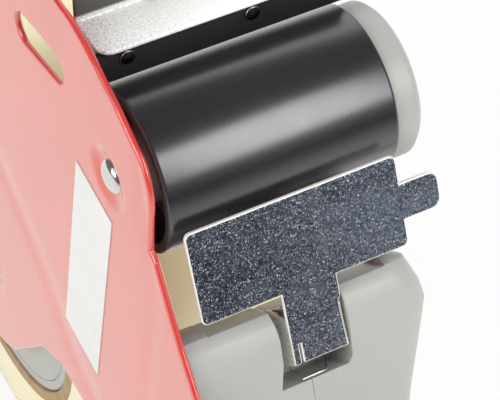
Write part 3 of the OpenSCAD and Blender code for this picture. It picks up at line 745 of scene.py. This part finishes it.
def add_axle():
    """The roller's axle, with a domed head outside the plate and a clip groove at its free end."""
    dome = []
    for degrees in range(0, 86, 6):
        a = math.radians(degrees)
        dome.append((HEAD_R * math.sin(a), -0.3 - 1.8 * math.cos(a)))
    dome += [(HEAD_R, -0.42), (3.4, -0.3), (SHAFT_R, -0.3)]
    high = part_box("roller_axle")[1]
    end = (high[0] - ORIGIN.x) / MM
    shaft = [(SHAFT_R, end - 3.0), (GROOVE_R, end - 2.9), (GROOVE_R, end - 2.0)]
    shaft += [(SHAFT_R, end - 1.9), (SHAFT_R, end - 0.5), (2.5, end), (0.0, end)]
    axle = lathe("axle_rivet", dome + shaft, ORIGIN)
    axle.data.materials.append(LOOKS["rivet_chrome"])
    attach(axle, "frame")
    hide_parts("roller_axle")


def add_wire(name, points, radius, node):
    """A round spring wire along a centre line, in place of a node."""
    data = bpy.data.curves.new(name, "CURVE")
    data.dimensions = "3D"
    data.bevel_depth = radius * MM
    data.bevel_resolution = 4
    data.use_fill_caps = True
    data.resolution_u = 3
    line = data.splines.new("NURBS")
    line.points.add(len(points) - 1)
    for point, spot in zip(line.points, points):
        point.co = (*spot, 1.0)
    line.order_u = 3
    line.use_endpoint_u = True
    wire = bpy.data.objects.new(name, data)
    scene.collection.objects.link(wire)
    data.materials.append(LOOKS["spring_steel"])
    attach(wire, "frame")
    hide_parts(node)


# Tilt of the grip's own frame
LEAN = math.radians(37.4)
# The gate's hinge pin, in millimetres from the roller axle
PIN_Y = -20.528
PIN_Z = -29.227
# A bend in the wire starts this far from its corner, and cuts the corner by this much
BEND = 1.2
BEND_CUT = 0.35


def by_pin(x, y, z):
    """A point in the grip's own frame, in millimetres from the gate's hinge pin."""
    back = y * math.cos(LEAN) + z * math.sin(LEAN)
    up = -y * math.sin(LEAN) + z * math.cos(LEAN)
    return gun(x, PIN_Y + back, PIN_Z + up)


def gate_spring_points():
    """Centre line of the gate's spring: bearing leg, coil, then the leg hooked on the slot's floor."""
    radius = 2.1
    pitch = 1.0
    start = 80.901
    swing = start + 7.0 * 360.0
    first = 21.05
    end = first + pitch * swing / 360.0
    floor = -10.196
    hook = 25.9
    front = -5.9
    length = 5.5
    steps = 136
    points = [by_pin(first, -8.393, 3.471)]
    for k in range(steps + 1):
        turn = swing * k / steps
        a = math.radians(start - turn)
        along = first + pitch * turn / 360.0
        points.append(by_pin(along, radius * math.cos(a), radius * math.sin(a)))
    points += [by_pin(end, radius, -3.0), by_pin(end, radius, floor + BEND)]
    points += [by_pin(end, radius - BEND_CUT, floor + BEND_CUT), by_pin(end, radius - BEND, floor)]
    points += [by_pin(hook, front + BEND, floor), by_pin(hook - BEND_CUT, front + BEND_CUT, floor)]
    points += [by_pin(hook - BEND, front, floor), by_pin(hook - length, front, floor)]
    return points


def brake_spring_points():
    """Centre line of the brake spring, coiled about the reel's axis."""
    turns = 4.0
    pitch = 2.325
    radius = 5.35
    start = 36.35
    steps = 64
    points = []
    for k in range(steps + 1):
        turn = turns * k / steps
        a = 2.0 * math.pi * turn
        back = HUB_Y + radius * math.cos(a)
        up = HUB_Z + radius * math.sin(a)
        points.append(gun(start + pitch * turn, back, up))
    return points


GATE_WIRE_R = 0.3
BRAKE_WIRE_R = 0.75


def add_springs():
    add_wire("gate_spring_wire", gate_spring_points(), GATE_WIRE_R, "gate_spring")
    add_wire("brake_spring_wire", brake_spring_points(), BRAKE_WIRE_R, "brake_spring")


# Stage and light

WHITE = (1.0, 1.0, 1.0)
# Colour of the floor in reflections
FLOOR_WARM = (1.0, 0.975, 0.91)
# Share of plain white in what the camera sees of the floor
FLOOR_WHITE = 0.8
# Strength of the white surroundings as light, and in reflections
WORLD_LIGHT = 0.76
WORLD_MIRRORED = 0.16


def floor_look():
    """Pale floor that is white to the camera, and dark in reflections far in front of the part."""
    m = Mat("floor", (0.9, 0.9, 0.9), 0.6)
    tree = m.tree
    path = tree.nodes.new("ShaderNodeLightPath")
    glossy = path.outputs["Is Glossy Ray"]

    def sums(kind, a, b):
        node = tree.nodes.new("ShaderNodeMath")
        node.operation = kind
        for socket, value in zip(node.inputs, (a, b)):
            if isinstance(value, float):
                socket.default_value = value
            else:
                m.link(value, socket)
        return node.outputs[0]

    shade = m.span(m.axis("Y"), 0.95, 0.0, -0.6, -0.12)
    level = sums("SUBTRACT", 1.0, sums("MULTIPLY", shade, glossy))
    glow = tree.nodes.new("ShaderNodeEmission")
    m.link(m.mix(glossy, WHITE, FLOOR_WARM), glow.inputs["Color"])
    m.link(level, glow.inputs["Strength"])
    seen = sums("MAXIMUM", path.outputs["Is Camera Ray"], path.outputs["Is Transmission Ray"])
    fac = sums("MAXIMUM", sums("MULTIPLY", seen, FLOOR_WHITE), glossy)
    blend = tree.nodes.new("ShaderNodeMixShader")
    m.link(fac, blend.inputs["Fac"])
    m.link(m.shader.outputs["BSDF"], blend.inputs[1])
    m.link(glow.outputs["Emission"], blend.inputs[2])
    m.link(blend.outputs["Shader"], tree.nodes["Material Output"].inputs["Surface"])
    return m.mat


def add_floor():
    bpy.ops.mesh.primitive_plane_add(size=6.0, location=(0.0, 0.0, 0.0))
    floor = bpy.context.object
    floor.name = "floor"
    floor.data.materials.append(floor_look())


def add_world():
    world = bpy.data.worlds.new("studio")
    scene.world = world
    world.use_nodes = True
    tree = world.node_tree
    back = tree.nodes["Background"]
    back.inputs["Color"].default_value = (*WHITE, 1.0)
    path = tree.nodes.new("ShaderNodeLightPath")
    level = tree.nodes.new("ShaderNodeMapRange")
    level.inputs["To Min"].default_value = WORLD_LIGHT
    level.inputs["To Max"].default_value = WORLD_MIRRORED
    tree.links.new(path.outputs["Is Glossy Ray"], level.inputs["Value"])
    tree.links.new(level.outputs["Result"], back.inputs["Strength"])


LAMP_AIM = gun(25.0, 0.0, -20.0)
LAMP_FAR = 1.1


def add_lamp(name, way, size, power):
    """An area lamp that looks at the tool's nose from a direction. Sizes are in metres."""
    data = bpy.data.lights.new(name, "AREA")
    data.shape = "RECTANGLE"
    data.size = size[0]
    data.size_y = size[1]
    data.energy = power
    lamp = bpy.data.objects.new(name, data)
    scene.collection.objects.link(lamp)
    spot = LAMP_AIM + Vector(way) * LAMP_FAR
    lamp.location = spot
    lamp.rotation_euler = (LAMP_AIM - spot).to_track_quat("-Z", "Y").to_euler()


def add_lights():
    add_lamp("front", (0.37, -0.84, 0.6), (0.57, 0.8), 6.7)
    add_lamp("left", (-0.9, -0.15, 0.45), (0.7, 0.7), 4.0)
    add_lamp("rear", (0.33, 0.8, 0.62), (1.4, 0.7), 3.2)


def main():
    add_camera()
    make_looks()
    dress_nodes()
    add_plate()
    add_axle()
    add_springs()
    add_floor()
    add_world()
    add_lights()


main()
